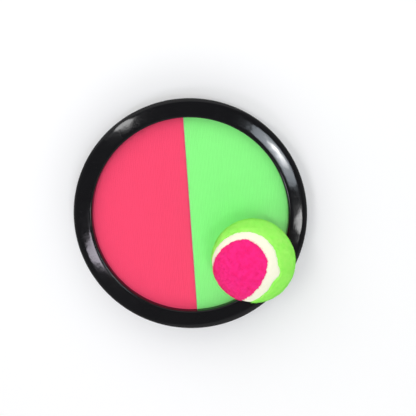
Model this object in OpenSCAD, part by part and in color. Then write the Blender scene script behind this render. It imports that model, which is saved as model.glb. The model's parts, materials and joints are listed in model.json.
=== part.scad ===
// Hook and loop catch paddle with its ball, in millimetres.
// The origin is on the paddle's axis, in the plane of the flat foot that it rests on.
// +Z points out of the catch face. The two face colours meet along the Y axis.

/* [Rim] */
// Outside diameter of the paddle
paddle_d = 185; // [170:1:220]
// Width of the rim, from its outside edge to the face
rim_w = 14.8; // [14.4:0.1:18]
// Depth of the paddle, from the foot to the crown
rim_h = 30; // [28:0.5:40]
// Rise of the crown above its two shoulders
crown_rise = 3.6; // [3.2:0.1:4.5]
// Fullness of the crown: 2 is half an ellipse, and more is flatter on top
crown_power = 4; // [2:0.5:5]
// Straight inner side of the rim, between the fabric and the inner shoulder
lip_h = 2.4; // [0.5:0.1:3]
// Wall of the rim and of the skirt of the back shell
wall = 2.2; // [1.8:0.1:2.4]
// Height at which the rim and the back shell meet
joint_z = 11; // [9:0.5:13]
// Bevel on both edges of the line where they meet
joint_bevel = 0.4; // [0.2:0.1:0.8]
// How far the spigot of the back shell reaches up into the rim
spigot_h = 4; // [2:0.5:6]
// Wall of that spigot
spigot_t = 1.8; // [1.2:0.1:2]
// Slack between the spigot and the rim
spigot_fit = 0.15; // [0.1:0.05:0.3]

/* [Face] */
// Hook fabric
fabric_t = 1.2; // [0.8:0.1:2]
// Stiff sheet that the fabric is glued to
backing_t = 0.6; // [0.4:0.1:1]
// Foam pad under the sheet
foam_t = 2.5; // [1.5:0.5:4]
// How far the face is tucked under the lip of the rim
tuck = 2; // [1.5:0.1:2.2]

/* [Back shell] */
// Floor that carries the face
floor_t = 2; // [1.5:0.1:3]
// Wall between the floor and the foot
dish_t = 2; // [1.5:0.1:2.5]
// How much wider the dish is at its mouth than at its floor, on the radius
dish_draft = 1; // [0.5:0.1:1.5]
// Ledge of the floor outside the face
ledge = 1; // [0.6:0.1:1.5]
// Flat foot that the paddle rests on
foot_t = 2.2; // [1.8:0.1:3]
// Round edge between the foot and the skirt
roll_r = 5; // [4:0.5:6]
// Number of gussets between the floor and the wall of the dish
gussets = 16; // [8:4:24]
// Leg of a gusset
gusset_leg = 9; // [5:0.5:12]
// Thickness of a gusset
gusset_t = 1.6; // [1.2:0.1:2.5]
// Rounding between the floor and the wall of the dish
dish_fillet = 3; // [1:0.5:4]

/* [Screws] */
// Number of screws that hold the rim to the back shell
screws = 6; // [4:1:10]
// Thread diameter
screw_d = 2.6; // [2.2:0.1:3]
// Length under the head
screw_l = 12; // [10:0.5:14]
// Diameter of the head
screw_head_d = 5; // [4.6:0.1:5.4]
// Height of the head
screw_head_h = 1.8; // [1.4:0.1:2.2]
// Depth of the head below the foot
screw_sink = 1.1; // [0.6:0.1:1.6]
// Outside diameter of the bosses in the rim
boss_d = 5.2; // [4.8:0.1:5.4]
// Bite of the thread into its boss, on the diameter
thread_bite = 0.4; // [0.2:0.1:0.6]

/* [Hand strap] */
// Width of the webbing
strap_w = 38; // [25:1:50]
// Thickness of the webbing
strap_t = 1.3; // [1:0.1:1.6]
// Distance between the two bars that carry the strap
bar_span = 112; // [104:1:120]
// Diameter of a bar
bar_d = 4.4; // [3.6:0.2:5]
// Slack between a bar and the webbing round it
bar_slack = 0.15; // [0.1:0.05:0.4]
// Room left round the webbing in the windows of the floor
window_room = 2; // [1:0.5:3]
// Slope of the webbing between a bar and the closure
strap_slope = 20; // [18:1:26]
// Height of the closed strap above the rest plane
strap_lift = 0.6; // [0.4:0.1:1.2]
// Distance from the bar at which the webbing is sewn back on itself
sewn_start = 11; // [9.5:0.5:13]
// Length of the sewn tail
sewn_l = 9; // [7:0.5:10]
// Thickness of the hook patch and of the loop patch on the strap
patch_t = 0.7; // [0.5:0.1:1.2]
// Gap between the two patches of the closed strap
patch_gap = 0.15; // [0.1:0.05:0.3]
// Margin between a patch and the edges of the webbing
patch_margin = 1.5; // [1:0.5:3]
// Reach of the outer end of the strap past the middle of the paddle
hook_end_reach = 28; // [20:1:30]
// Length of the folded thumb tab at that end
thumb_tab = 7; // [5:1:9]
// Reach of the inner end past the middle, the other way
loop_end_reach = 23; // [15:1:25]

/* [Ball] */
// Diameter over the felt
ball_d = 63; // [58:0.5:68]
// Thickness of the felt
felt_t = 2.6; // [1.5:0.1:4]
// Wall of the hollow core
core_t = 3.2; // [2:0.1:5]
// Width of the seam between the felt panels
seam_w = 7.4; // [4:0.2:9]
// Depth of the seam below the felt
seam_sink = 0.6; // [0:0.1:1.2]
// Glue line between the core, the felt and the seam
glue = 0.15; // [0.1:0.05:0.3]
// Gap between the ball and the tips of the hooks
ball_gap = 0.2; // [0.1:0.1:1]
// Gap between the ball and the top of the crown that it leans towards
ball_rim_gap = 7.1; // [4.5:0.1:12]
// Direction of the ball from the middle of the face, in degrees
ball_angle = -34; // [-180:1:180]
// Lean of the upper pink lobe to the left, in degrees
lobe_lean = 30; // [-60:1:60]
// Lean of that lobe to the front, in degrees
lobe_nod = 3; // [-60:1:60]
// Turn of that lobe about the vertical, in degrees
lobe_turn = 47; // [0:1:359]

/* [Hidden] */
$fn = 96;
// Overlap that keeps joined shapes and cuts clean
eps = 0.01;
// How far cuts reach past what they cut
cut_over = 1;

// Rim
rim_r = paddle_d / 2;
open_r = rim_r - rim_w;
crown_half = rim_w / 2;
crown_c = rim_r - crown_half;
shoulder_z = rim_h - crown_rise;
crown_steps = 24;
skirt_in_r = rim_r - wall;
spigot_out_r = skirt_in_r - spigot_fit;
spigot_in_r = spigot_out_r - spigot_t;
// Share of the wall of the crown that the screw bosses reach into
boss_bury = 0.35;
boss_top = rim_h - (1 - boss_bury) * wall;

// Face, from the top down
face_z = shoulder_z - lip_h;
backing_z = face_z - fabric_t - backing_t;
floor_top = backing_z - foam_t;
floor_z = floor_top - floor_t;
face_r = open_r + tuck;

// Dish of the back shell
dish_top_r = face_r + ledge;
dish_foot_r = dish_top_r + dish_draft;
// The rounding ends at a small angle to the floor and the wall
fillet_bite = 0.06;

// Screws, in a ring half way between the dish and the spigot
boss_c = (dish_foot_r + spigot_in_r) / 2;
seat_t = 2.5;
head_room = 0.4;
head_z = screw_sink + screw_head_h;
seat_z = head_z + seat_t;
seat_wall = 1.3;
seat_d = boss_d + 2 * seat_wall;
screw_root_d = screw_d - thread_bite;
root_room = 0.1;
shank_room = 0.4;
pilot_tip = 1;
recess_w = 0.8;
recess_l = 2.8;
recess_h = 0.9;
screw_first = 30;

// Hand strap
bar_x = bar_span / 2;
loop_in_r = bar_d / 2 + bar_slack;
loop_mid_r = loop_in_r + strap_t / 2;
loop_out_r = loop_in_r + strap_t;
// The webbing swells a little where it turns round a bar, and its runs reach a little into the turn
loop_swell = 0.05;
loop_lap = 0.3;
// How far the sewn tail is pressed into the webbing under it
sewn_press = 0.1;
loop_headroom = 0.8;
bar_z = floor_top - loop_out_r - loop_headroom;
lug_t = 3;
lug_wall = 1.2;
lug_waist = 0.4;
lug_r = bar_d / 2 + lug_wall;
lug_neck = 2 * (lug_r - lug_waist);
lug_gap = 1;
window_w = 2 * (loop_out_r + window_room);
window_l = strap_w + 2 * lug_gap;
hook_end_z = strap_lift + strap_t / 2;
hook_patch_z = strap_lift + strap_t;
loop_patch_z = hook_patch_z + patch_t + patch_gap;
loop_end_z = loop_patch_z + patch_t + strap_t / 2;

// Ball, which leans towards the crown of the rim
ball_r = ball_d / 2;
core_r = ball_r - felt_t - glue;
ball_z = face_z + ball_gap + ball_r;
ball_reach = crown_c - sqrt(pow(ball_r + ball_rim_gap, 2) - pow(ball_z - rim_h, 2));
seam_half = seam_w / 2 / ball_r * 180 / PI;
glue_half = glue / 2 / ball_r * 180 / PI;
// Shape of the seam: the share of its first harmonic, of its third, and its height
seam_a = 0.755;
seam_b = 1 - seam_a;
seam_c = 2 * sqrt(seam_a * seam_b);
panel_rows = 40;
panel_columns = 12;
panel_tip = 3;
seam_steps = 96;

rim_black = "#17171a";
shell_black = "#232326";
foam_grey = "#55555a";
backing_white = "#e4e2da";
hook_red = "#f93a5e";
hook_green = "#73e862";
strap_black = "#1d1d20";
hook_patch_black = "#2c2c30";
loop_patch_black = "#34343a";
screw_steel = "#9a9ca0";
core_rubber = "#4a4643";
felt_yellow_green = "#a4f25e";
felt_pink = "#fb2f88";
seam_cream = "#f6f3e2";

function unit(v) = v / norm(v);

// A rectangle between two corners of a section, as radius and height
module span(r0, z0, r1, z1) {
    translate([r0, z0])
        square([r1 - r0, z1 - z0]);
}

// Copies the children to every screw, where their own X axis points outwards
module each_screw() {
    for (i = [0 : screws - 1])
        rotate([0, 0, screw_first + i * 360 / screws])
            translate([boss_c, 0, 0])
                children();
}

// Points of the crown from its outer shoulder to its inner one, as a full arch that is flat on top
function crown_arch(half, rise) = [for (i = [0 : crown_steps])
    let (a = 180 * i / crown_steps)
    let (across = half * sign(cos(a)) * pow(abs(cos(a)), 2 / crown_power))
    [crown_c + across, shoulder_z + rise * pow(sin(a), 2 / crown_power)]];

// A hollow arch on an outer skirt, whose inner side ends in the lip that holds the face down
module rim_section() {
    hollow = crown_arch(crown_half - wall, crown_rise - wall);
    polygon(concat(
        [[rim_r - joint_bevel, joint_z], [rim_r, joint_z + joint_bevel]],
        crown_arch(crown_half, crown_rise),
        [[open_r, face_z], [open_r + wall, face_z]],
        [for (i = [crown_steps : -1 : 0]) hollow[i]],
        [[skirt_in_r, joint_z]]
    ));
}

module rim_ring() {
    color(rim_black)
        difference() {
            union() {
                rotate_extrude()
                    rim_section();
                each_screw()
                    translate([0, 0, seat_z])
                        cylinder(d = boss_d, h = boss_top - seat_z);
            }
            each_screw()
                translate([0, 0, seat_z - eps])
                    cylinder(d = screw_root_d + root_room, h = screw_l - seat_t + pilot_tip);
        }
}

// Floor, dish wall, foot, round edge and skirt in one moulded section
module shell_section() {
    span(0, floor_z, dish_top_r, floor_top);
    polygon([
        [dish_in_r(floor_top), floor_top],
        [dish_top_r, floor_top],
        [dish_foot_r, 0],
        [dish_in_r(0), 0]
    ]);
    dish_corner();
    span(dish_in_r(0), 0, rim_r - roll_r, foot_t);
    intersection() {
        translate([rim_r - roll_r, roll_r])
            difference() {
                circle(roll_r);
                circle(roll_r - wall);
            }
        span(rim_r - roll_r, -cut_over, rim_r + cut_over, roll_r);
    }
    polygon([
        [skirt_in_r, roll_r],
        [rim_r, roll_r],
        [rim_r, joint_z - joint_bevel],
        [rim_r - joint_bevel, joint_z],
        [skirt_in_r, joint_z]
    ]);
    span(spigot_in_r, joint_z - spigot_h / 2, skirt_in_r, joint_z);
    span(spigot_in_r, joint_z, spigot_out_r, joint_z + spigot_h);
}

// Inner radius of the dish wall at a height
function dish_in_r(z) = dish_top_r - dish_t + dish_draft * (floor_top - z) / floor_top;

// Rounding between the floor and the wall, inside the dish
module dish_corner() {
    lean = atan(dish_draft / floor_top);
    low_z = floor_z - dish_fillet;
    middle = [dish_in_r(low_z) - dish_fillet / cos(lean), low_z];
    difference() {
        polygon([
            middle,
            [middle[0], floor_z + eps],
            [dish_in_r(floor_z) + dish_t / 2, floor_z + eps],
            [dish_in_r(low_z) + dish_t / 2, low_z]
        ]);
        translate(middle)
            circle(dish_fillet + fillet_bite);
    }
}

// Bar that one end of the strap loops round, on two lugs under the floor
module strap_bar(x) {
    bar_l = window_l + 2 * lug_t;
    translate([x, bar_l / 2, bar_z])
        rotate([90, 0, 0])
            cylinder(d = bar_d, h = bar_l);
    for (side = [-1, 1])
        translate([x, side * (window_l + lug_t) / 2, bar_z])
            rotate([90, 0, 0]) {
                cylinder(r = lug_r, h = lug_t, center = true);
                translate([-lug_neck / 2, 0, -lug_t / 2])
                    cube([lug_neck, floor_z - bar_z + floor_t / 2, lug_t]);
            }
}

module strap_window(x) {
    translate([x - window_w / 2, -window_l / 2, floor_z - cut_over])
        cube([window_w, window_l, floor_t + 2 * cut_over]);
}

module back_shell() {
    gusset_r = dish_top_r - dish_t;
    color(shell_black)
        difference() {
            union() {
                difference() {
                    rotate_extrude()
                        shell_section();
                    strap_window(bar_x);
                    strap_window(-bar_x);
                }
                strap_bar(bar_x);
                strap_bar(-bar_x);
                for (i = [0 : gussets - 1])
                    rotate([90, 0, (i + 0.5) * 360 / gussets])
                        linear_extrude(gusset_t, center = true)
                            polygon([
                                [gusset_r - gusset_leg, floor_z + eps],
                                [gusset_r + dish_t / 2, floor_z + eps],
                                [gusset_r + dish_t / 2, floor_z - gusset_leg]
                            ]);
                each_screw()
                    translate([0, 0, foot_t / 2])
                        cylinder(d = seat_d, h = seat_z - foot_t / 2);
            }
            each_screw() {
                translate([0, 0, -cut_over])
                    cylinder(d = screw_d + shank_room, h = seat_z + 2 * cut_over);
                translate([0, 0, -cut_over])
                    cylinder(d = screw_head_d + head_room, h = head_z + cut_over);
            }
        }
}

module foam_pad() {
    color(foam_grey)
        translate([0, 0, floor_top])
            cylinder(r = face_r, h = foam_t);
}

module face_backing() {
    color(backing_white)
        translate([0, 0, backing_z])
            cylinder(r = face_r, h = backing_t);
}

// Half of the hook fabric: side is -1 for the left half and 1 for the right
module hook_face_half(side) {
    translate([0, 0, face_z - fabric_t])
        linear_extrude(fabric_t)
            intersection() {
                circle(face_r);
                translate([side * face_r, 0])
                    square(2 * face_r, center = true);
            }
}

module hook_face_red() {
    color(hook_red)
        hook_face_half(-1);
}

module hook_face_green() {
    color(hook_green)
        hook_face_half(1);
}

// Round head with a cross recess, under a plain shank
module rim_screws() {
    color(screw_steel)
        each_screw() {
            difference() {
                translate([0, 0, screw_sink])
                    cylinder(d = screw_head_d, h = screw_head_h);
                for (turn = [0, 90])
                    rotate([0, 0, turn])
                        translate([-recess_l / 2, -recess_w / 2, screw_sink - cut_over])
                            cube([recess_l, recess_w, recess_h + cut_over]);
            }
            translate([0, 0, head_z - eps])
                cylinder(d = screw_root_d, h = screw_l + eps);
        }
}

// Outline of a run of webbing along three points of its middle line, mitred at the second
module webbing_run(from, bend, to) {
    first = unit(bend - from);
    second = unit(to - bend);
    side_1 = strap_t / 2 * [-first[1], first[0]];
    side_2 = strap_t / 2 * [-second[1], second[0]];
    mitre = (side_1 + side_2) / (1 + first * second);
    polygon([from + side_1, bend + mitre, to + side_2, to - side_2, bend - mitre, from - side_1]);
}

// One end of the strap, drawn with its bar on the left at the origin and the middle to the right.
// The webbing wraps the bar, slopes down to mid_z below it and runs level to end_x. The tail
// comes back over the bar and is sewn down on the slope.
module strap_runs(mid_z, end_x) {
    along = [cos(strap_slope), -sin(strap_slope)];
    below = [-sin(strap_slope), -cos(strap_slope)];
    under = loop_mid_r * below;
    slope_l = (under[1] - mid_z) / sin(strap_slope);
    bend = under + slope_l * along;
    sewn = under + sewn_start * along - (strap_t - sewn_press) * below;
    sewn_end = sewn + sewn_l * along;
    over_turn = atan2(sewn[1], sewn[0]) + acos(loop_mid_r / norm(sewn));
    over = loop_mid_r * [cos(over_turn), sin(over_turn)];
    linear_extrude(strap_w, center = true)
        difference() {
            circle(loop_out_r + loop_swell);
            circle(loop_in_r - loop_swell);
            polygon([[0, 0], 2 * under, 2 * under + 2 * loop_out_r * along, sewn, 2 * over]);
        }
    linear_extrude(strap_w, center = true)
        webbing_run(under - loop_lap * along, bend, [end_x, mid_z]);
    linear_extrude(strap_w, center = true)
        webbing_run(over - loop_lap * unit(sewn - over), sewn, sewn_end);
}

// The same in its place: side is 1 for the right bar and -1 for the left
module strap_end(side, mid_z, end_x) {
    translate([side * bar_x, 0, bar_z])
        mirror([side > 0 ? 1 : 0, 0, 0])
            rotate([90, 0, 0])
                strap_runs(mid_z - bar_z, end_x);
}

// Outer end: it covers the inner one from below, and ends in a thumb tab
module strap_hook_end() {
    tab_x = -hook_end_reach;
    color(strap_black) {
        strap_end(1, hook_end_z, bar_x + hook_end_reach);
        translate([tab_x, -strap_w / 2, hook_patch_z - eps])
            cube([thumb_tab - patch_margin, strap_w, strap_t - sewn_press + eps]);
    }
}

module strap_loop_end() {
    color(strap_black)
        strap_end(-1, loop_end_z, bar_x + loop_end_reach);
}

// A patch of the closure, between two places along the strap
module patch(x0, x1, z) {
    translate([x0, -strap_w / 2 + patch_margin, z])
        cube([x1 - x0, strap_w - 2 * patch_margin, patch_t]);
}

module strap_hook_patch() {
    color(hook_patch_black)
        patch(-hook_end_reach + thumb_tab, loop_end_reach - patch_margin, hook_patch_z);
}

module strap_loop_patch() {
    color(loop_patch_black)
        patch(-hook_end_reach + thumb_tab, loop_end_reach - patch_margin, loop_patch_z);
}

// Places the ball on the face, turned so that a pink lobe looks up
module at_ball() {
    translate([ball_reach * cos(ball_angle), ball_reach * sin(ball_angle), ball_z])
        rotate([lobe_nod, -lobe_lean, 0])
            rotate([0, 0, lobe_turn])
                rotate([0, -90, 0])
                    rotate([0, 0, 45])
                        children();
}

// Direction from the middle of the ball to the middle of the seam
function seam_at(t) = [
    seam_a * cos(t) + seam_b * cos(3 * t),
    seam_a * sin(t) - seam_b * sin(3 * t),
    seam_c * sin(2 * t)
];
function seam_along(t) = unit([
    -seam_a * sin(t) - 3 * seam_b * sin(3 * t),
    seam_a * cos(t) - 3 * seam_b * cos(3 * t),
    2 * seam_c * cos(2 * t)
]);
// The same, moved sideways by an angle over the surface of the ball
function beside_seam(t, angle) =
    cos(angle) * seam_at(t) + sin(angle) * unit(cross(seam_at(t), seam_along(t)));
function arc_between(p, q, share) =
    let (whole = acos(max(-1, min(1, p * q))))
    (sin((1 - share) * whole) * p + sin(share * whole) * q) / sin(whole);

// A felt panel: arcs across it join each point of its edge to the mirrored point
module felt_panel() {
    rows = [for (i = [0 : panel_rows])
        let (t = -45 + panel_tip + i * (180 - 2 * panel_tip) / panel_rows)
        let (p = beside_seam(t, seam_half + glue_half))
        [p, [-p[1], -p[0], p[2]]]];
    wide = panel_columns + 1;
    grid = [for (row = rows) for (j = [0 : panel_columns]) arc_between(row[0], row[1], j / panel_columns)];
    inner = len(grid);
    points = concat(ball_r * grid, (ball_r - felt_t) * grid);
    skin = [for (i = [0 : panel_rows - 1]) for (j = [0 : panel_columns - 1])
        let (a = i * wide + j)
        each [[a, a + 1, a + wide + 1], [a, a + wide + 1, a + wide]]];
    lining = [for (f = skin) [inner + f[2], inner + f[1], inner + f[0]]];
    border = concat(
        [for (j = [0 : panel_columns - 1]) j],
        [for (i = [0 : panel_rows - 1]) i * wide + panel_columns],
        [for (j = [panel_columns : -1 : 1]) panel_rows * wide + j],
        [for (i = [panel_rows : -1 : 1]) i * wide]
    );
    edge = [for (k = [0 : len(border) - 1])
        let (a = border[k])
        let (b = border[(k + 1) % len(border)])
        each [[b, a, inner + a], [b, inner + a, inner + b]]];
    polyhedron(points, concat(skin, lining, edge), convexity = 6);
}

module ball_core() {
    color(core_rubber)
        at_ball()
            difference() {
                sphere(core_r);
                sphere(core_r - core_t);
            }
}

module ball_felt_green() {
    color(felt_yellow_green)
        at_ball()
            rotate([180, 0, 0])
                felt_panel();
}

module ball_felt_pink() {
    color(felt_pink)
        at_ball()
            felt_panel();
}

// Raised in its middle, the seam is one closed band between the two panels
module ball_seam() {
    half = seam_half - glue_half;
    low = core_r + glue;
    edge_r = ball_r - 2 * seam_sink;
    crest_r = ball_r - seam_sink;
    shape = [
        [-half, low], [0, low], [half, low],
        [half, edge_r], [half / 2, crest_r], [-half / 2, crest_r], [-half, edge_r]
    ];
    sides = len(shape);
    points = [for (i = [0 : seam_steps - 1]) for (s = shape) s[1] * beside_seam(i * 360 / seam_steps, s[0])];
    faces = [for (i = [0 : seam_steps - 1]) for (j = [0 : sides - 1])
        let (a = i * sides + j)
        let (b = i * sides + (j + 1) % sides)
        let (c = (a + sides) % len(points))
        let (d = (b + sides) % len(points))
        each [[a, c, d], [a, d, b]]];
    color(seam_cream)
        at_ball()
            polyhedron(points, faces, convexity = 6);
}

rim_ring();
back_shell();
foam_pad();
face_backing();
hook_face_red();
hook_face_green();
rim_screws();
strap_hook_end();
strap_hook_patch();
strap_loop_end();
strap_loop_patch();
ball_core();
ball_felt_green();
ball_felt_pink();
ball_seam();
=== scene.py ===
"""Looks of a hook and loop catch paddle and its felt ball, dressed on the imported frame, in metres."""

import json
import math

import bmesh
import bpy
import numpy as np
from mathutils import Matrix, Quaternion, Vector, noise


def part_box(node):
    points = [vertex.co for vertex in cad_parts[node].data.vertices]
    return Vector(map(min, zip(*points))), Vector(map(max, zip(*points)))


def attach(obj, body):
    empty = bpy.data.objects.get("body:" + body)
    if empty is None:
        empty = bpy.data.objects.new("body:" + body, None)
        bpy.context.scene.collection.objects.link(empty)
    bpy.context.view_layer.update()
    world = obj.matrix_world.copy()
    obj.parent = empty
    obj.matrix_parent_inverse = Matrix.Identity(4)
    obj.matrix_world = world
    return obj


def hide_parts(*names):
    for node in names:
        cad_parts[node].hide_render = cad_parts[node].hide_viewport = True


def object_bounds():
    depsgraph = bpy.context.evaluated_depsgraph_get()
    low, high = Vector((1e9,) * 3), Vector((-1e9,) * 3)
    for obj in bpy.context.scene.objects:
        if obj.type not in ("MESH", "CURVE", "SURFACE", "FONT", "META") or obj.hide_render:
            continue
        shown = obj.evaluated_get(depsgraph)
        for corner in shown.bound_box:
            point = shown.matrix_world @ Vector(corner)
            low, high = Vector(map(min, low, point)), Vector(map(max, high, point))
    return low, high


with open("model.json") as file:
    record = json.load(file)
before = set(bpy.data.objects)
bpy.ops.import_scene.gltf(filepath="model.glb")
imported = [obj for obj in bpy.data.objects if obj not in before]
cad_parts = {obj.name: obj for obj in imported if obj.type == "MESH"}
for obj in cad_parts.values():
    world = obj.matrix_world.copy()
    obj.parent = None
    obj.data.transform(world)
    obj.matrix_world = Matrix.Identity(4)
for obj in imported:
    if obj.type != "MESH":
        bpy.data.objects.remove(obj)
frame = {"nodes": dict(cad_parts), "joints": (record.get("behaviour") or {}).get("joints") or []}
cad_low, cad_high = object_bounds()
chance = np.random.default_rng(2026)

MM = 0.001
UP = np.array([0.0, 0.0, 1.0])

# Rim: hollow moulding with a flat-topped crown, whose inner shoulder is sharper
RIM_W = 14.8 * MM
RIM_WALL = 2.2 * MM
CROWN_RISE = 3.6 * MM
CROWN_POWER = 4
INNER_POWER = 7
JOINT_Z = 11 * MM
JOINT_BEVEL = 0.4 * MM
BOSS_R = 2.6 * MM
BOSS_BORE_R = 1.15 * MM
SCREW_HEAD_R = 2.5 * MM
SCREWS = 6

# Face: its hooks, the gap between the halves, the bare margin at the edges, and the uneven cloth
HOOK_H = 0.85 * MM
HOOK_PITCH = 1.7 * MM
HOOK_JITTER = 0.16 * MM
SPLIT_GAP = 0.12 * MM
EDGE_ROOM = 0.5 * MM
CLOTH_LUMP = 9 * MM
CLOTH_ROUGH = 0.05 * MM

# Foam behind the face: its uneven skin, and the gap under it
FOAM_LUMP = 2.5 * MM
FOAM_ROUGH = 0.08 * MM
FOAM_GAP = 0.1 * MM

# Felt of the ball: thickness, rolled edge, matted and wavy surface, cut of a panel, and fuzz
FELT_T = 2.6 * MM
ROLL_DROP = 0.55 * MM
ROLL_W = 1.6 * MM
MAT_LUMP = 1.6 * MM
MAT_ROUGH = 0.1 * MM
WAVE_LUMP = 6 * MM
WAVE_ROUGH = 0.12 * MM
FIBRES = 11000
FIBRE_R = 0.05 * MM
FIBRE_L = (0.9 * MM, 2.2 * MM)

# Seam of the ball: its section, the gaps to the felt and the core, its uneven face and edges
SEAM_W = 7.4 * MM
SEAM_SINK = 0.45 * MM
SEAM_CROWN = 0.45 * MM
SEAM_GAP = 0.08 * MM
SEAM_BED = 0.1 * MM
SEAM_LUMP = 2.2 * MM
SEAM_ROUGH = 0.09 * MM
SEAM_WAVES = ((0.2 * MM, 31, 1), (0.18 * MM, 67, 2), (0.14 * MM, 113, 3))

# Path of the seam over the ball, and how the ball is turned
SEAM_A = 0.755
LOBE_LEAN = math.radians(30)
LOBE_NOD = math.radians(3)
LOBE_TURN = math.radians(47)

# Where the seam is wider: a bead and a spill of glue on the green side, and the pink panel's blunt end
BEAD_W = 3.2 * MM
BEAD_AT = math.radians(288)
BEAD_SPAN = math.radians(4.4)
SPILL_W = 1.5 * MM
SPILL_AT = math.radians(286)
SPILL_SPAN = math.radians(24)
BLUNT_W = 1.6 * MM
BLUNT_AT = math.radians(315)
BLUNT_SPAN = math.radians(12)

# Webbing of the hand strap: its path round a bar, its sewn tail, and the fold of the pull tab
LOOP_R = 3.0 * MM
STRAP_SLOPE = math.radians(20)
SEWN_START = 11 * MM
SEWN_L = 9 * MM
SEWN_LIFT = 1.22 * MM
TAB_L = 5.5 * MM
TAB_FOLD_R = 0.62 * MM

# Weave of the webbing, and the room that the frame leaves for its thickness
WEB_T = 1.18 * MM
WEB_ROOM = 1.3 * MM
WEB_STEP = 0.5 * MM
RIB_PITCH = 1.4 * MM
PICK_PITCH = 2.4 * MM
WEAVE_DEPTH = 0.14 * MM
SELVEDGE_W = 0.7 * MM
SELVEDGE_DROP = 0.35 * MM

# Stitches of the strap
STITCH_L = 2.6 * MM
THREAD_R = 0.16 * MM
STITCH_RISE = 0.12 * MM
SEWN_SIDE = 3 * MM
SEWN_INSET = 1.5 * MM
TAPE_INSET = 2 * MM

# Fastening tapes: ground, bare margin, hooks and loops
TAPE_T = 0.25 * MM
TAPE_RIB = 0.02 * MM
TAPE_RIB_PITCH = 0.9 * MM
TAPE_MARGIN = 0.8 * MM
TAPE_ROOT = 0.03 * MM
TAPE_TIP_ROOM = 0.02 * MM
TAPE_HOOK_PITCH = 1.3 * MM
TAPE_HOOK_JITTER = 0.05 * MM
TAPE_LOOPS = 3200
TAPE_LOOP_R = 0.045 * MM
TAPE_LOOP_W = (0.25 * MM, 0.5 * MM)
TAPE_LOOP_DROP = (0.3 * MM, 0.42 * MM)

# Colours of the face and the ball, whose felts are deeper between their fibres
RED = (0.98, 0.075, 0.18)
GREEN = (0.29, 0.98, 0.27)
BALL_GREEN = (0.42, 0.98, 0.163)
BALL_GREEN_DEEP = (0.345, 0.97, 0.127)
BALL_PINK = (0.97, 0.025, 0.272)
BALL_PINK_DEEP = (0.95, 0.016, 0.205)

# Camera, fitted to the outlines of the rim, the face and the ball
IMAGE_PX = 416
FOCAL_PX = 621.8
SENSOR_MM = 36
EYE_DISTANCE = 0.5
EYE_LEAN_X = math.radians(3.284)
EYE_LEAN_Y = math.radians(10.055)
EYE_ROLL = math.radians(-3.91)
PIVOT = Vector((0, 0, 0.020))
TARGET = Vector((0.0144, 0.0047, 0.020))

# Light: strength of the sky at the horizon and overhead, and distance and tints of the lamps
SKY_LOW = 1.2
SKY_HIGH = 0.19
LAMP_DISTANCE = 1.0
PALE_BLUE = (0.82, 0.91, 1.0)
PALE_LILAC = (0.94, 0.87, 1.0)

# Floor: the hole under the paddle, the gap below it, and how far out it turns plain white
FLOOR_R = 3.0
FLOOR_HOLE_R = 87 * MM
FLOOR_GAP = 0.05 * MM
FADE_START = 0.13
FADE_END = 0.4

# Places that the frame gives
rim_low, rim_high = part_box("rim_ring")
rim_r = rim_high.x
open_r = rim_r - RIM_W
shoulder_z = rim_high.z - CROWN_RISE
boss_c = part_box("rim_screws")[1].y - SCREW_HEAD_R
fabric_low, fabric_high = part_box("hook_face_red")
face_r = -fabric_low.x
ground_z = fabric_high.z - HOOK_H
foam_low, foam_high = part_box("foam_pad")
core_low, core_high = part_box("ball_core")
ball_mid = (core_low + core_high) / 2
felt_boxes = [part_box("ball_felt_green"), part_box("ball_felt_pink")]
ball_r = max(max(high - ball_mid) for low, high in felt_boxes)
joints = {joint["name"]: joint for joint in frame["joints"]}


# Mesh helpers


def unit(v):
    return v / np.linalg.norm(v, axis=-1, keepdims=True)


def ease(share):
    """A smooth step from 0 to 1."""
    share = np.clip(share, 0, 1)
    return share * share * (3 - 2 * share)


def piece(name, shape, look, body, stands_for=(), crease=None):
    """A mesh of points and faces that rides on a body, and may stand for CAD nodes.
    It is smooth, apart from edges that turn by more than the crease, an angle in degrees."""
    points, faces = shape
    mesh = bpy.data.meshes.new(name)
    mesh.from_pydata(np.asarray(points).tolist(), [], faces)
    made = bmesh.new()
    made.from_mesh(mesh)
    bmesh.ops.recalc_face_normals(made, faces=made.faces)
    made.to_mesh(mesh)
    made.free()
    mesh.shade_smooth()
    if crease:
        mesh.set_sharp_from_angle(angle=math.radians(crease))
    mesh.materials.append(look)
    obj = bpy.data.objects.new(name, mesh)
    bpy.context.scene.collection.objects.link(obj)
    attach(obj, body)
    if stands_for:
        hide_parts(*stands_for)
    return obj


def slab(top, bottom):
    """A closed sheet between two grids of points, each rows by columns by 3."""
    rows, columns = top.shape[:2]
    count = rows * columns
    index = np.arange(count).reshape(rows, columns)
    corners = [index[:-1, :-1], index[1:, :-1], index[1:, 1:], index[:-1, 1:]]
    skin = np.stack(corners, -1).reshape(-1, 4)
    lining = skin[:, ::-1] + count
    border = np.concatenate([index[0, :-1], index[:-1, -1], index[-1, :0:-1], index[:0:-1, 0]])
    after = np.roll(border, -1)
    edge = np.stack([border, after, after + count, border + count], -1)
    points = np.concatenate([top.reshape(-1, 3), bottom.reshape(-1, 3)])
    return points, np.concatenate([skin, lining, edge]).tolist()


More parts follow.
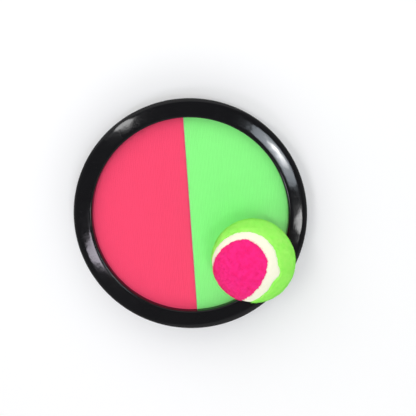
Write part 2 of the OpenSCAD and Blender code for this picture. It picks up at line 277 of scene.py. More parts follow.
def tubes(lines, across, radii, sides):
    """Closed tubes along flat lines (count, rings, 3), each with its own sideways direction."""
    count, rings = lines.shape[:2]
    along = unit(np.gradient(lines, axis=1))
    sideways = np.broadcast_to(across[:, None, :], lines.shape)
    upright = np.cross(sideways, along)
    turn = np.arange(sides) * 2 * math.pi / sides
    off_up = np.cos(turn)[:, None] * upright[:, :, None, :]
    off_side = np.sin(turn)[:, None] * sideways[:, :, None, :]
    points = lines[:, :, None, :] + np.asarray(radii)[None, :, None, None] * (off_up + off_side)
    index = np.arange(count * rings * sides).reshape(count, rings, sides)
    after = np.roll(index, -1, axis=2)
    walls = np.stack([index[:, :-1], after[:, :-1], after[:, 1:], index[:, 1:]], -1).reshape(-1, 4)
    caps = np.concatenate([index[:, 0, ::-1], index[:, -1]])
    return points.reshape(-1, 3), walls.tolist() + caps.tolist()


def closed_rings(rings):
    """A closed tube through rings of points (rings, points, 3), whose last ring meets the first."""
    index = np.arange(rings.shape[0] * rings.shape[1]).reshape(rings.shape[:2])
    corners = [index, np.roll(index, -1, 0), np.roll(index, (-1, -1), (0, 1)), np.roll(index, -1, 1)]
    return rings.reshape(-1, 3), np.stack(corners, -1).reshape(-1, 4).tolist()


def lathe(outline, steps, middle=(0, 0, 0)):
    """A closed outline of radii and heights, turned round an upright axis."""
    turn = np.arange(steps) * 2 * math.pi / steps
    around = np.stack([np.cos(turn), np.sin(turn), np.zeros(steps)], -1)
    outline = np.array(outline)
    rings = outline[None, :, :1] * around[:, None, :] + outline[None, :, 1:] * UP
    return closed_rings(rings + np.array(middle))


def joined(shapes):
    """Several meshes of points and faces as one."""
    points, faces, start = [], [], 0
    for some_points, some_faces in shapes:
        points.append(some_points)
        faces += [[start + corner for corner in face] for face in some_faces]
        start += len(some_points)
    return np.concatenate(points), faces


def rough(points, size, depth):
    """Uneven heights over points: soft noise whose lumps have a size, up to a depth either way."""
    flat = points.reshape(-1, 3) / size
    heights = np.array([noise.noise(Vector(p)) for p in flat])
    return depth * heights.reshape(points.shape[:-1])


# Material helpers


def new_look(name, color, roughness, settings=()):
    """A material with one shader, whose plain values are set by socket name."""
    look = bpy.data.materials.new(name)
    look.use_nodes = True
    shader = look.node_tree.nodes["Principled BSDF"]
    shader.inputs["Base Color"].default_value = (*color, 1)
    shader.inputs["Roughness"].default_value = roughness
    for socket, value in dict(settings).items():
        shader.inputs[socket].default_value = value
    return look


def node(look, kind, inputs=(), **options):
    """Adds a node. An input is a plain value, or the socket that feeds it."""
    made = look.node_tree.nodes.new("ShaderNode" + kind)
    for option, value in options.items():
        setattr(made, option, value)
    for name, value in dict(inputs).items():
        if isinstance(value, bpy.types.NodeSocket):
            look.node_tree.links.new(value, made.inputs[name])
        else:
            made.inputs[name].default_value = value
    return made


def feed(look, socket, value):
    """Connects a texture to a socket of the shader."""
    shader = look.node_tree.nodes["Principled BSDF"]
    look.node_tree.links.new(value, shader.inputs[socket])


def grain(look, size, detail=2.0, stretch=(1, 1, 1), turn=0.0):
    """Noise whose lumps have a size in metres, drawn out along a turned direction if stretched."""
    place = node(look, "TexCoord").outputs["Object"]
    settings = {"Vector": place, "Rotation": (0, 0, turn), "Scale": stretch}
    place = node(look, "Mapping", settings).outputs["Vector"]
    return node(look, "TexNoise", {"Vector": place, "Scale": 1 / size, "Detail": detail}).outputs["Fac"]


def spread(look, value, low, high, start=0.3, end=0.7):
    """Maps a texture from start and end to low and high."""
    settings = {"Value": value, "From Min": start, "From Max": end, "To Min": low, "To Max": high}
    return node(look, "MapRange", settings).outputs["Result"]


def tint(look, share, dark, light):
    """A colour between two, by a texture."""
    mix = node(look, "Mix", data_type="RGBA")
    look.node_tree.links.new(share, mix.inputs["Factor"])
    mix.inputs[6].default_value = (*dark, 1)
    mix.inputs[7].default_value = (*light, 1)
    return mix.outputs[2]


def relief(look, height, depth):
    """Bumps of a depth in metres from a texture."""
    bump = node(look, "Bump", {"Height": height, "Distance": depth})
    feed(look, "Normal", bump.outputs["Normal"])


def shaded(color, share):
    return tuple(share * c for c in color)


# Looks


def rim_look():
    """Glossy black plastic, a little hazier where it is handled, with faint scratches."""
    look = new_look("rim_gloss", (0.005, 0.005, 0.006), 0.14, {"Specular IOR Level": 0.2})
    haze = spread(look, grain(look, 14 * MM, 3), 0.05, 0.09)
    scratches = [grain(look, 0.3 * MM, 1, (0.03, 1, 1), math.radians(turn)) for turn in (24, 118)]
    marks = [spread(look, scratch, 0, 0.10, 0.66, 0.72) for scratch in scratches]
    both = node(look, "Math", {0: marks[0], 1: marks[1]}, operation="ADD").outputs[0]
    total = node(look, "Math", {0: haze, 1: both}, operation="ADD").outputs[0]
    feed(look, "Roughness", total)
    shades = tint(look, grain(look, 20 * MM, 4), (0.004, 0.004, 0.005), (0.007, 0.007, 0.008))
    feed(look, "Base Color", shades)
    relief(look, grain(look, 9 * MM, 2), 0.03 * MM)
    return look


def shell_look():
    """Matte black plastic with a fine moulded texture."""
    look = new_look("shell_matte", (0.016, 0.016, 0.018), 0.55)
    fine = grain(look, 0.5 * MM, 3)
    feed(look, "Roughness", spread(look, grain(look, 12 * MM, 3), 0.48, 0.66))
    shades = tint(look, grain(look, 30 * MM, 4), (0.012, 0.012, 0.014), (0.026, 0.026, 0.029))
    feed(look, "Base Color", shades)
    relief(look, fine, 0.06 * MM)
    return look


def foam_look():
    """Grey foam with small open cells at its cut face, painted darker in the middle of each cell as
    shade in the hollows.
    """
    look = new_look("foam_cells", (0.09, 0.09, 0.1), 0.95)
    place = node(look, "TexCoord").outputs["Object"]
    cells = node(look, "TexVoronoi", {"Vector": place, "Scale": 1 / (0.9 * MM)}).outputs["Distance"]
    # Painted shade: the colour is darker in the middle of each cell, where the bumps sink into hollows.
    feed(look, "Base Color", tint(look, cells, (0.05, 0.05, 0.055), (0.13, 0.13, 0.14)))
    relief(look, cells, 0.3 * MM)
    return look


def backing_look():
    """Stiff off-white sheet with faint mottling."""
    look = new_look("backing_sheet", (0.74, 0.72, 0.66), 0.6)
    feed(look, "Base Color", tint(look, grain(look, 8 * MM, 3), (0.68, 0.66, 0.6), (0.78, 0.77, 0.72)))
    relief(look, grain(look, 1.2 * MM, 2), 0.03 * MM)
    return look


def steel_look():
    """Zinc plated steel, brushed and a little dull."""
    look = new_look("zinc_steel", (0.6, 0.6, 0.61), 0.35, {"Metallic": 1.0})
    feed(look, "Roughness", spread(look, grain(look, 0.4 * MM, 3, (0.2, 1, 1)), 0.25, 0.5))
    shades = tint(look, grain(look, 1.5 * MM, 3), (0.48, 0.48, 0.5), (0.66, 0.66, 0.66))
    feed(look, "Base Color", shades)
    return look


def cloth_look(name, color):
    """Ground cloth of the hook fabric: a fine weave under a soft sheen."""
    settings = {"Sheen Weight": 0.05, "Sheen Roughness": 0.5, "Specular IOR Level": 0.2}
    look = new_look(name, color, 0.85, settings)
    place = node(look, "TexCoord").outputs["Object"]
    threads = {"Vector": place, "Scale": 1 / (3.5 * MM), "Distortion": 1.5}
    weave = node(look, "TexWave", threads).outputs["Fac"]
    feed(look, "Base Color", tint(look, grain(look, 6 * MM, 4), shaded(color, 0.95), color))
    relief(look, weave, 0.06 * MM)
    return look


def hook_look(name, color):
    """Nylon of the hooks: the same colour, smoother, a little uneven from hook to hook."""
    look = new_look(name, color, 0.45, {"Specular IOR Level": 0.2})
    feed(look, "Base Color", tint(look, grain(look, 5 * MM, 3), shaded(color, 0.95), color))
    feed(look, "Roughness", spread(look, grain(look, 2 * MM, 2), 0.38, 0.55))
    return look


def felt_look(name, color, deep):
    """Brushed felt: matted fibres, paler where they stand up."""
    settings = {"Sheen Weight": 0.04, "Sheen Roughness": 0.6, "Specular IOR Level": 0.1}
    look = new_look(name, color, 0.95, settings)
    blotches = grain(look, 4 * MM, 5)
    feed(look, "Base Color", tint(look, spread(look, blotches, 0, 1), deep, color))
    relief(look, grain(look, 0.5 * MM, 4), 0.25 * MM)
    return look


def seam_look():
    """Cream rubber cement, matte and a little lumpy."""
    look = new_look("seam_cream", (0.9, 0.885, 0.7), 0.7)
    feed(look, "Base Color", tint(look, grain(look, 3 * MM, 4), (0.87, 0.85, 0.64), (0.92, 0.91, 0.74)))
    relief(look, grain(look, 0.8 * MM, 3), 0.12 * MM)
    return look


def webbing_look():
    """Black nylon yarn with a soft sheen, greyed a little by wear."""
    settings = {"Sheen Weight": 0.2, "Sheen Roughness": 0.4}
    look = new_look("webbing_nylon", (0.016, 0.016, 0.018), 0.6, settings)
    wear = spread(look, grain(look, 7 * MM, 4), 0, 1, 0.35, 0.75)
    feed(look, "Base Color", tint(look, wear, (0.012, 0.012, 0.014), (0.03, 0.03, 0.033)))
    relief(look, grain(look, 0.25 * MM, 2, (1, 0.2, 1)), 0.05 * MM)
    return look


def thread_look():
    """Twisted grey-black sewing thread."""
    look = new_look("sewing_thread", (0.09, 0.09, 0.095), 0.5, {"Sheen Weight": 0.3})
    relief(look, grain(look, 0.2 * MM, 1), 0.04 * MM)
    feed(look, "Roughness", spread(look, grain(look, 0.6 * MM, 2), 0.4, 0.65))
    return look


def tape_look(name, color):
    """Black fastening tape and its hooks or loops."""
    look = new_look(name, color, 0.6, {"Sheen Weight": 0.3})
    feed(look, "Base Color", tint(look, grain(look, 2 * MM, 3), shaded(color, 0.7), shaded(color, 1.2)))
    relief(look, grain(look, 0.4 * MM, 2), 0.05 * MM)
    return look


def rubber_look():
    """Plain moulded rubber of the core."""
    look = new_look("core_rubber", (0.07, 0.065, 0.06), 0.75)
    shades = tint(look, grain(look, 5 * MM, 3), (0.05, 0.047, 0.044), (0.09, 0.083, 0.078))
    feed(look, "Base Color", shades)
    relief(look, grain(look, 0.7 * MM, 2), 0.05 * MM)
    return look


# Rim


def crown_arch(half, rise, steps=64):
    """Radii and heights over the crown, from its outer shoulder to its inner one, which is sharper."""
    a = np.linspace(0, math.pi, steps + 1)
    share = 2 / np.where(np.cos(a) > 0, CROWN_POWER, INNER_POWER)
    across = half * np.sign(np.cos(a)) * np.abs(np.cos(a)) ** share
    up = rise * np.abs(np.sin(a)) ** share
    return np.stack([rim_r - RIM_W / 2 + across, shoulder_z + up], -1)


def rim_moulding():
    """The hollow rim with a smooth crown, and the screw bosses inside it."""
    hollow = crown_arch(RIM_W / 2 - RIM_WALL, CROWN_RISE - RIM_WALL)
    outline = np.concatenate([
        [(rim_r - JOINT_BEVEL, JOINT_Z), (rim_r, JOINT_Z + JOINT_BEVEL)],
        crown_arch(RIM_W / 2, CROWN_RISE),
        [(open_r, fabric_high.z), (open_r + RIM_WALL, fabric_high.z)],
        hollow[::-1],
        [(rim_r - RIM_WALL, JOINT_Z)],
    ])
    boss_top = hollow[:, 1].max() + RIM_WALL / 4
    boss = [(BOSS_BORE_R, rim_low.z), (BOSS_R, rim_low.z), (BOSS_R, boss_top), (BOSS_BORE_R, boss_top)]
    shapes = [lathe(outline, 288)]
    for k in range(SCREWS):
        turn = (k + 0.5) * 2 * math.pi / SCREWS
        shapes.append(lathe(boss, 32, (boss_c * math.cos(turn), boss_c * math.sin(turn), 0)))
    piece("rim_moulding", joined(shapes), rim_look(), "paddle", ["rim_ring"], crease=35)


# Face


def half_disc(side, radius, rows=90, columns=48):
    """Grid of points over one half of a disc, on one side of the Y axis."""
    tip = math.radians(2)
    turn = np.linspace(-math.pi / 2 + tip, math.pi / 2 - tip, rows)[:, None]
    share = np.linspace(0, 1, columns)[None, :]
    x = side * (SPLIT_GAP + share * (radius * np.cos(turn) - SPLIT_GAP))
    y = np.broadcast_to(radius * np.sin(turn), x.shape)
    return np.stack([x, y, np.zeros_like(x)], -1)


def hooks(base, heading, height):
    """Small bent hooks that stand on points and lean over towards their headings."""
    reach = np.array([0, 0, 0.14, 0.42, 0.68, 0.76]) * height
    rise = np.array([0, 0.55, 0.86, 1.0, 0.88, 0.64]) * height
    radii = np.array([0.17, 0.15, 0.14, 0.13, 0.12, 0.08]) * height
    forward = np.stack([np.cos(heading), np.sin(heading), np.zeros_like(heading)], -1)
    across = np.stack([-np.sin(heading), np.cos(heading), np.zeros_like(heading)], -1)
    lines = base[:, None, :] + reach[:, None] * forward[:, None, :] + rise[:, None] * UP
    return tubes(lines, across, radii, 4)


def hook_rows(x_low, x_high, y_low, y_high, pitch, jitter):
    """Places and headings of hooks in rows along Y, which lean over to and fro by turns."""
    x, y = np.meshgrid(np.arange(x_low, x_high, pitch), np.arange(y_low, y_high, pitch), indexing="ij")
    row = np.arange(x.shape[0])[:, None] % 2
    heading = np.where(row, math.pi / 2, -math.pi / 2) + chance.normal(0, 0.25, x.shape)
    y = y + row * pitch / 2
    places = np.stack([x, y], -1) + chance.normal(0, jitter, (*x.shape, 2))
    return places.reshape(-1, 2), heading.reshape(-1)


def face_half(side, word, color):
    """One half of the face: the ground cloth, with its rows of hooks."""
    grid = half_disc(side, face_r)
    top = grid + UP * (ground_z + rough(grid, CLOTH_LUMP, CLOTH_ROUGH))[..., None]
    bottom = grid + UP * fabric_low.z
    slot = "hook_fabric_" + word
    stands_for = ["hook_face_" + word]
    look = cloth_look(slot, color)
    cloth = piece("face_cloth_" + word, slab(top, bottom), look, "paddle", stands_for)
    places, heading = hook_rows(-open_r, open_r, -open_r, open_r, HOOK_PITCH, HOOK_JITTER)
    inside = (np.hypot(*places.T) < open_r - EDGE_ROOM) & (side * places[:, 0] > EDGE_ROOM)
    base = np.column_stack([places[inside], np.full(inside.sum(), ground_z)])
    shape = hooks(base, heading[inside], HOOK_H)
    field = piece("face_hooks_" + word, shape, hook_look(slot + "_hooks", color), "paddle")


def foam_disc(steps=72):
    """Foam pad with a slightly uneven skin underneath: a square grid, rounded to a disc."""
    u, v = np.meshgrid(np.linspace(-1, 1, steps), np.linspace(-1, 1, steps), indexing="ij")
    x = face_r * u * np.sqrt(1 - v**2 / 2)
    y = face_r * v * np.sqrt(1 - u**2 / 2)
    grid = np.stack([x, y, np.zeros_like(x)], -1)
    lumps = rough(grid, FOAM_LUMP, FOAM_ROUGH)
    top = grid + UP * foam_high.z
    bottom = grid + UP * (foam_low.z + FOAM_GAP + lumps)[..., None]
    pad = piece("foam_sheet", slab(top, bottom), foam_look(), "paddle", ["foam_pad"])


# Ball

seam_b = 1 - SEAM_A
seam_c = 2 * math.sqrt(SEAM_A * seam_b)
ball_turn = (
    Matrix.Rotation(-LOBE_LEAN, 3, "Y")
    @ Matrix.Rotation(LOBE_NOD, 3, "X")
    @ Matrix.Rotation(LOBE_TURN, 3, "Z")
    @ Matrix.Rotation(-math.pi / 2, 3, "Y")
    @ Matrix.Rotation(math.pi / 4, 3, "Z")
)


def on_ball(points):
    """Turns points of the ball's own frame and moves them to the ball."""
    return points @ np.array(ball_turn).T + np.array(ball_mid)


def beside_seam(t, angle):
    """Directions from the middle of the ball, an angle to one side of the seam."""
    at = np.stack([
        SEAM_A * np.cos(t) + seam_b * np.cos(3 * t),
        SEAM_A * np.sin(t) - seam_b * np.sin(3 * t),
        seam_c * np.sin(2 * t),
    ], -1)
    along = np.stack([
        -SEAM_A * np.sin(t) - 3 * seam_b * np.sin(3 * t),
        SEAM_A * np.cos(t) - 3 * seam_b * np.cos(3 * t),
        2 * seam_c * np.cos(2 * t),
    ], -1)
    aside = unit(np.cross(at, along))
    return np.cos(angle)[..., None] * at + np.sin(angle)[..., None] * aside


def swell(t, middle, span):
    """1 round the middle of a stretch of the seam, and 0 well outside it."""
    return np.exp(-(((t - middle) / span) ** 4))


def seam_half(t, side):
    """Angle from the path of the seam to one of its edges, which are uneven.
    Side is 1 for the edge at the pink panel and -1 for the edge at the green one."""
    ragged = sum(depth * np.sin(count * t + shift * side) for depth, count, shift in SEAM_WAVES)
    glue = BEAD_W * swell(t, BEAD_AT, BEAD_SPAN) + SPILL_W * swell(t, SPILL_AT, SPILL_SPAN)
    blunt = BLUNT_W * swell(t, BLUNT_AT, BLUNT_SPAN)
    return (SEAM_W / 2 + ragged + np.where(side < 0, glue, blunt)) / ball_r


def panel_edge(t, side):
    """Edge of a felt panel: side is 1 for the pink panel and -1 for the green one."""
    around = (side * t) % (2 * math.pi)
    return beside_seam(around, side * seam_half(around, side))


def felt_grid(side, rows=320, columns=56):
    """Directions over a felt panel, and the distance of each from the edge."""
    tip = math.radians(2.5)
    t = np.linspace(-math.pi / 4 + tip, 3 * math.pi / 4 - tip, rows)
    near = panel_edge(t, side)
    far = panel_edge(1.5 * math.pi - t, side)
    whole = np.arccos(np.clip((near * far).sum(-1), -1, 1))[:, None]
    share = np.linspace(0, 1, columns)[None, :]
    blend = [np.sin((1 - share) * whole) / np.sin(whole), np.sin(share * whole) / np.sin(whole)]
    grid = blend[0][..., None] * near[:, None] + blend[1][..., None] * far[:, None]
    return grid, np.minimum(share, 1 - share) * whole * ball_r


def fibres(points, faces, count):
    """Short hairs that lie over a surface of quads and stand up a little at their ends."""
    quads = points[np.array(faces)]
    areas = np.linalg.norm(np.cross(quads[:, 2] - quads[:, 0], quads[:, 3] - quads[:, 1]), axis=1)
    chosen = quads[chance.choice(len(quads), count, p=areas / areas.sum())]
    u, v = chance.random((2, count, 1))
    near = (1 - v) * chosen[:, 0] + v * chosen[:, 1]
    far = (1 - v) * chosen[:, 3] + v * chosen[:, 2]
    root = (1 - u) * near + u * far
    out = unit(root)
    flat = unit(np.cross(out, unit(chance.normal(size=(count, 3)))))
    length = chance.uniform(*FIBRE_L, (count, 1))
    lift = chance.uniform(0.05, 0.45, (count, 1))
    reach = np.array([0, 0.5, 1.0])
    rise = np.array([-0.06, 0.6, 0.8])
    step = length * (1 - 0.4 * lift)
    ahead = reach[:, None] * (step * flat)[:, None]
    above = rise[:, None] * (length * lift * out)[:, None]
    across = unit(np.cross(out, flat) @ np.array(ball_turn).T)
    radii = np.array([1, 0.84, 0.32]) * FIBRE_R
    return tubes(on_ball(root[:, None] + ahead + above), across, radii, 3)


def felt_panel(side, word, color, deep):
    """One felt panel with a rolled edge and a matted surface, and the fuzz on it."""
    grid, margin = felt_grid(side)
    rolled = ball_r - ROLL_DROP * (1 - ease(margin / ROLL_W))
    lumps = rough(grid * ball_r, MAT_LUMP, MAT_ROUGH) + rough(grid * ball_r, WAVE_LUMP, WAVE_ROUGH)
    outer = grid * (rolled + lumps - MAT_ROUGH)[..., None]
    inner = grid * (ball_r - FELT_T)
    slot = "felt_" + word
    look = felt_look(slot, color, deep)
    points, faces = slab(outer, inner)
    skin = faces[: (grid.shape[0] - 1) * (grid.shape[1] - 1)]
    felt = piece("ball_panel_" + word, (on_ball(points), faces), look, "ball", ["ball_" + slot])
    fuzz = piece("ball_fuzz_" + word, fibres(points, skin, FIBRES), look, "ball")


def ball_seam(steps=720, columns=15):
    """The band between the panels: one closed ring, raised in its middle."""
    t = np.linspace(0, 2 * math.pi, steps, endpoint=False)[:, None]
    share = np.linspace(-1, 1, columns)[None, :]
    half = np.where(share > 0, seam_half(t, 1), seam_half(t, -1)) - SEAM_GAP / ball_r
    grid = beside_seam(np.broadcast_to(t, half.shape), share * half)
    crest = ball_r - SEAM_SINK - SEAM_CROWN * share**4 + rough(grid * ball_r, SEAM_LUMP, SEAM_ROUGH)
    bottom = grid[:, ::-1] * (core_high.x - ball_mid.x + SEAM_BED)
    ring = np.concatenate([grid * crest[..., None], bottom], axis=1)
    band = closed_rings(on_ball(ring))
    piece("ball_seam_band", band, seam_look(), "ball", ["ball_seam"])


# Hand strap


def resample(corners, step):
    """Points at even steps along a line of corners, rounded a little where it bends."""
    corners = np.array(corners)
    run = np.concatenate([[0], np.cumsum(np.linalg.norm(np.diff(corners, axis=0), axis=1))])
    places = np.linspace(0, run[-1], int(run[-1] / step))
    line = np.stack([np.interp(places, run, corners[:, k]) for k in (0, 1)], -1)
    for _ in range(4):
        line[1:-1] = 0.5 * line[1:-1] + 0.25 * (line[:-2] + line[2:])
    return line


def strap_line(level, end_x, tab):
    """Middle line of one strap end, from its sewn tail round the bar to its far end.
    The bar is at the origin. The first number runs towards the middle of the paddle, the second up."""
    along = np.array([math.cos(STRAP_SLOPE), -math.sin(STRAP_SLOPE)])
    below = np.array([-math.sin(STRAP_SLOPE), -math.cos(STRAP_SLOPE)])
    under = LOOP_R * below
    bend = under + (under[1] - level) / math.sin(STRAP_SLOPE) * along
    sewn = under + SEWN_START * along - SEWN_LIFT * below
    over = math.atan2(sewn[1], sewn[0]) + math.acos(LOOP_R / np.linalg.norm(sewn))
    turn = np.linspace(over, math.radians(270) - STRAP_SLOPE, 40)
    loop = LOOP_R * np.stack([np.cos(turn), np.sin(turn)], -1)
    line = [sewn + SEWN_L * along, sewn, *loop, bend]
    if not tab:
        return line + [np.array([end_x, level])]
    fold = np.linspace(-math.pi / 2, math.pi / 2, 9)
    tip = end_x - TAB_FOLD_R - WEB_T / 2
    middle = np.array([tip, level + TAB_FOLD_R])
    line += [middle + TAB_FOLD_R * np.array([math.cos(a), math.sin(a)]) for a in fold]
    return line + [np.array([tip - TAB_L, level + 2 * TAB_FOLD_R])]


def webbing(line, width):
    """A woven strip along a middle line: ribs along it, pinched by turns where the weft crosses them."""
    line = resample(line, WEB_STEP)
    along = unit(np.gradient(line, axis=0))
    out = np.stack([-along[:, 1], along[:, 0]], -1)
    run = np.arange(len(line)) * np.linalg.norm(line[1] - line[0])
    columns = int(width / RIB_PITCH * 4) + 1
    y = np.linspace(-width / 2, width / 2, columns)
    rib = np.floor(y / RIB_PITCH)
    round_rib = np.abs(np.sin(math.pi * y / RIB_PITCH)) ** 0.6
    pinch = 0.5 + 0.5 * np.cos(2 * math.pi * run[:, None] / PICK_PITCH + math.pi * rib[None, :])
    height = WEAVE_DEPTH * round_rib[None, :] * (0.45 + 0.55 * pinch)
    selvedge = SELVEDGE_DROP * (1 - ease((width / 2 - np.abs(y)) / SELVEDGE_W))
    half = WEB_T / 2 - WEAVE_DEPTH + height - selvedge[None, :]
    sides = []
    for sign in (1, -1):
        flat = line[:, None, :] + sign * half[..., None] * out[:, None, :]
        sides.append(np.stack([flat[..., 0], np.broadcast_to(y, half.shape), flat[..., 1]], -1))
    return slab(*sides), run[-1]


def stitch_row(start, end, out):
    """Short stitches in a row between two points, on a surface that faces out."""
    start, end, out = (np.array(v, float) for v in (start, end, out))
    count = max(1, round(np.linalg.norm(end - start) / STITCH_L))
    along = unit(end - start)
    middles = start + (end - start) * ((np.arange(count) + 0.5) / count)[:, None]
    reach = np.array([-0.42, -0.3, 0, 0.3, 0.42]) * STITCH_L
    rise = np.array([-1, 0.5, 1, 0.5, -1]) * STITCH_RISE
    lines = middles[:, None, :] + reach[:, None] * along + rise[:, None] * out
    across = np.broadcast_to(np.cross(along, out), middles.shape)
    return tubes(lines, across, np.full(5, THREAD_R), 6)


def stitch_box(low, high, z, facing):
    """Stitches round a rectangle at one height."""
    corners = [(low[0], low[1]), (high[0], low[1]), (high[0], high[1]), (low[0], high[1])]
    pairs = zip(corners, corners[1:] + corners[:1])
    return [stitch_row((*a, z), (*b, z), (0, 0, facing)) for a, b in pairs]


def slope_stitches(side, bar, width):
    """Two rows across the sewn tail and a cross between them, on both faces of the strap."""
    along = np.array([-side * math.cos(STRAP_SLOPE), 0, -math.sin(STRAP_SLOPE)])
    below = np.array([side * math.sin(STRAP_SLOPE), 0, -math.cos(STRAP_SLOPE)])
    half = width / 2 - SEWN_SIDE
    reach = np.array([0, half, 0])
    rows = []
    for facing, off in ((1, LOOP_R + WEB_T / 2), (-1, LOOP_R - SEWN_LIFT - WEB_T / 2)):
        runs = (SEWN_START + SEWN_INSET, SEWN_START + SEWN_L - SEWN_INSET)
        a, b = (np.array(bar) + off * below + run * along for run in runs)
        pairs = [(a - reach, a + reach), (b - reach, b + reach)]
        pairs += [(a - reach, b + reach), (b - reach, a + reach)]
        rows += [stitch_row(p, q, facing * below) for p, q in pairs]
    return rows


def tape_hooks(low, high):
    """Rows of small hooks that stand on a tape."""
    x_low, x_high = low.x + TAPE_MARGIN, high.x - TAPE_MARGIN
    y_low, y_high = low.y + TAPE_MARGIN, high.y - TAPE_MARGIN
    places, heading = hook_rows(x_low, x_high, y_low, y_high, TAPE_HOOK_PITCH, TAPE_HOOK_JITTER)
    inside = (places[:, 1] < y_high) & (places[:, 1] > y_low)
    root_z = low.z + TAPE_T - TAPE_ROOT
    base = np.column_stack([places[inside], np.full(inside.sum(), root_z)])
    return hooks(base, heading[inside], high.z - TAPE_TIP_ROOM - root_z)


def tape_loops(low, high, count):
    """Tangled small loops that hang from a tape."""
    base = np.column_stack([
        chance.uniform(low.x + TAPE_MARGIN, high.x - TAPE_MARGIN, count),
        chance.uniform(low.y + TAPE_MARGIN, high.y - TAPE_MARGIN, count),
        np.full(count, high.z - TAPE_T),
    ])
    turn = np.linspace(0, math.pi, 7)
    width = chance.uniform(*TAPE_LOOP_W, (count, 1))
    drop = chance.uniform(*TAPE_LOOP_DROP, (count, 1))
    heading = chance.uniform(0, 2 * math.pi, count)
    forward = np.stack([np.cos(heading), np.sin(heading), np.zeros(count)], -1)
    across = np.stack([-np.sin(heading), np.cos(heading), np.zeros(count)], -1)
    reach = width * np.cos(turn)
    fall = -drop * np.sin(turn)
    lines = base[:, None] + reach[..., None] * forward[:, None] + fall[..., None] * UP
    return tubes(lines, across, np.full(7, TAPE_LOOP_R), 3)


def tape_base(low, high, z_low, z_high):
    """Ground of a tape: a thin ribbed sheet."""
    x, y = np.meshgrid(np.linspace(low.x, high.x, 60), np.linspace(low.y, high.y, 90), indexing="ij")
    rib = TAPE_RIB * np.cos(2 * math.pi * y / TAPE_RIB_PITCH)
    top = np.stack([x, y, z_high - TAPE_RIB + rib], -1)
    bottom = np.stack([x, y, z_low + TAPE_RIB - rib], -1)
    return slab(top, bottom)


def strap_end(word, tape, side):
    """One end of the strap: webbing, stitches and its tape. Side is 1 for the right bar."""
    body = "strap_" + word
    bar = joints["strap_open" if side > 0 else "strap_slack"]["pos_m"]
    web_node, tape_node = "strap_" + tape + "_end", "strap_" + tape + "_patch"
    low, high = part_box(tape_node)
    web_low, web_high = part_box(web_node)
    width = web_high.y - web_low.y
    level = (low.z - WEB_ROOM / 2 if side > 0 else high.z + WEB_ROOM / 2) - bar[2]
    end_x = abs((web_low.x if side > 0 else web_high.x) - bar[0])
    (points, faces), length = webbing(strap_line(level, end_x, side > 0), width)
    points = points * np.array([-side, 1, 1]) + np.array(bar)
    web = piece("webbing_" + word, (points, faces), looks["webbing"], body, [web_node])
    face_z = level + bar[2] - side * WEB_T / 2
    rows = slope_stitches(side, bar, width)
    inset = Vector((TAPE_INSET, TAPE_INSET, 0))
    rows += stitch_box(low + inset, high - inset, face_z, -side)
    thread = piece("stitches_" + word, joined(rows), looks["thread"], body)
    slot = tape + "_tape"
    if side > 0:
        ground = tape_base(low, high, low.z, low.z + TAPE_T)
        pile = tape_hooks(low, high)
    else:
        ground = tape_base(low, high, high.z - TAPE_T, high.z)
        pile = tape_loops(low, high, TAPE_LOOPS)
    base = piece("tape_" + tape, ground, looks[slot], body, [tape_node])
    tips = piece("tape_" + tape + "_pile", pile, looks[slot], body)


# Build

looks = {
    "webbing": webbing_look(),
    "thread": thread_look(),
    "hook_tape": tape_look("hook_tape", (0.025, 0.025, 0.028)),
    "loop_tape": tape_look("loop_tape", (0.034, 0.034, 0.038)),
}
kept_nodes = {
    "back_shell": shell_look(),
    "face_backing": backing_look(),
    "rim_screws": steel_look(),
    "ball_core": rubber_look(),
}
for name, look in kept_nodes.items():
    for slot in frame["nodes"][name].material_slots:
        slot.material = look

rim_moulding()
face_half(-1, "red", RED)
face_half(1, "green", GREEN)
foam_disc()
felt_panel(1, "pink", BALL_PINK, BALL_PINK_DEEP)
felt_panel(-1, "green", BALL_GREEN, BALL_GREEN_DEEP)
ball_seam()
strap_end("outer", "hook", 1)
strap_end("inner", "loop", -1)


# Stage


def floor(steps=96):
    """Plain white floor with a hole that the foot of the paddle covers, so that light reaches the back.
    It lets the view through from below, and far out it is seen as plain white."""
    look = new_look("floor_white", (0.96, 0.96, 0.96), 0.9, {"Specular IOR Level": 0.0})
    tree = look.node_tree
    rays = node(look, "LightPath").outputs
    view_or_gloss = {0: rays["Is Camera Ray"], 1: rays["Is Glossy Ray"]}
    seen = node(look, "Math", view_or_gloss, operation="ADD").outputs[0]
    seen = node(look, "Math", {0: seen, 1: rays["Is Transmission Ray"]}, operation="ADD").outputs[0]
    place = node(look, "TexCoord").outputs["Object"]
    away = node(look, "VectorMath", {0: place}, operation="LENGTH").outputs["Value"]
    far = spread(look, away, 0, 1, FADE_START, FADE_END)
    share = node(look, "Math", {0: seen, 1: far}, operation="MULTIPLY", use_clamp=True).outputs[0]
    white = node(look, "Emission").outputs[0]
    plain = tree.nodes["Principled BSDF"].outputs[0]
    top = node(look, "MixShader", {0: share, 1: plain, 2: white}).outputs[0]
    clear = node(look, "BsdfTransparent").outputs[0]
    below = node(look, "NewGeometry").outputs["Backfacing"]
    both = node(look, "MixShader", {0: below, 1: top, 2: clear}).outputs[0]
    tree.links.new(both, tree.nodes["Material Output"].inputs["Surface"])
    turn = np.arange(steps) * 2 * math.pi / steps
    around = np.stack([np.cos(turn), np.sin(turn), np.zeros(steps)], -1)
    inner = np.arange(steps)
    after = np.roll(inner, -1)
    faces = np.stack([inner, inner + steps, after + steps, after], -1)
    points = np.concatenate([FLOOR_HOLE_R * around, FLOOR_R * around])
    mesh = bpy.data.meshes.new("floor")
    mesh.from_pydata(points.tolist(), [], faces.tolist())
    mesh.materials.append(look)
    plane = bpy.data.objects.new("floor", mesh)
    plane.location.z = cad_low.z - FLOOR_GAP
    bpy.context.scene.collection.objects.link(plane)


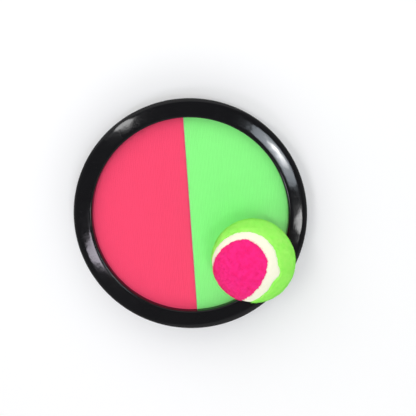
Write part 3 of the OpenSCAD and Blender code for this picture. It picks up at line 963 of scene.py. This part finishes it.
def lamp(name, azimuth, elevation, size, turn, power, color=(1, 1, 1)):
    """An oval soft box that faces the paddle, with angles in degrees and power in watts."""
    a, e = math.radians(azimuth), math.radians(elevation)
    toward = Vector((math.cos(e) * math.cos(a), math.cos(e) * math.sin(a), math.sin(e)))
    facing = toward.to_track_quat("Z", "Y") @ Quaternion((0, 0, 1), math.radians(turn))
    data = bpy.data.lights.new(name, "AREA")
    data.shape = "ELLIPSE"
    data.size, data.size_y = size
    data.energy = power
    data.color = color
    obj = bpy.data.objects.new(name, data)
    obj.location = PIVOT + LAMP_DISTANCE * toward
    obj.rotation_euler = facing.to_euler()
    bpy.context.scene.collection.objects.link(obj)


def sky():
    """Soft light from all round: white at the horizon and below it, dimmer overhead."""
    world = bpy.data.worlds.new("studio")
    world.use_nodes = True
    tree = world.node_tree
    way = tree.nodes.new("ShaderNodeTexCoord").outputs["Generated"]
    split = tree.nodes.new("ShaderNodeSeparateXYZ")
    tree.links.new(way, split.inputs[0])
    strength = tree.nodes.new("ShaderNodeMapRange")
    strength.inputs["To Min"].default_value = SKY_LOW
    strength.inputs["To Max"].default_value = SKY_HIGH
    tree.links.new(split.outputs["Z"], strength.inputs["Value"])
    tree.nodes["Background"].inputs["Color"].default_value = (1, 1, 1, 1)
    tree.links.new(strength.outputs["Result"], tree.nodes["Background"].inputs["Strength"])
    bpy.context.scene.world = world


def camera():
    """The photograph's view, from above and a little to the far side."""
    lean = Vector((math.tan(EYE_LEAN_X), math.tan(EYE_LEAN_Y), 1)).normalized()
    eye = PIVOT + EYE_DISTANCE * lean
    ahead = (TARGET - eye).normalized()
    level_right = ahead.cross(Vector((0, 1, 0))).normalized()
    level_up = level_right.cross(ahead)
    right = math.cos(EYE_ROLL) * level_right + math.sin(EYE_ROLL) * level_up
    top = right.cross(ahead)
    data = bpy.data.cameras.new("camera")
    data.sensor_width = SENSOR_MM
    data.lens = FOCAL_PX / IMAGE_PX * SENSOR_MM
    data.clip_start = 0.01
    obj = bpy.data.objects.new("camera", data)
    obj.matrix_world = Matrix.Translation(eye) @ Matrix((right, top, -ahead)).transposed().to_4x4()
    bpy.context.scene.collection.objects.link(obj)
    bpy.context.scene.camera = obj


floor()
sky()
lamp("right_core", -13, 80.4, (0.078, 0.007), 48, 0.28)
lamp("right_box", -11, 80.2, (0.18, 0.13), 46, 0.95, PALE_BLUE)
lamp("front_box", 222.8, 70.9, (0.068, 0.147), -19.8, 0.6, PALE_LILAC)
lamp("side_box", -41, 72, (0.064, 0.095), 34, 0.42)
lamp("left_box", 146.9, 71.1, (0.073, 0.33), -21.9, 1.3)
lamp("far_box", 105, 42, (1.5, 1.0), 0, 3.7)
lamp("near_box", -70, 42, (1.1, 0.8), 0, 1.3)
camera()
bpy.context.scene.view_settings.view_transform = "Standard"

bpy.context.view_layer.update()
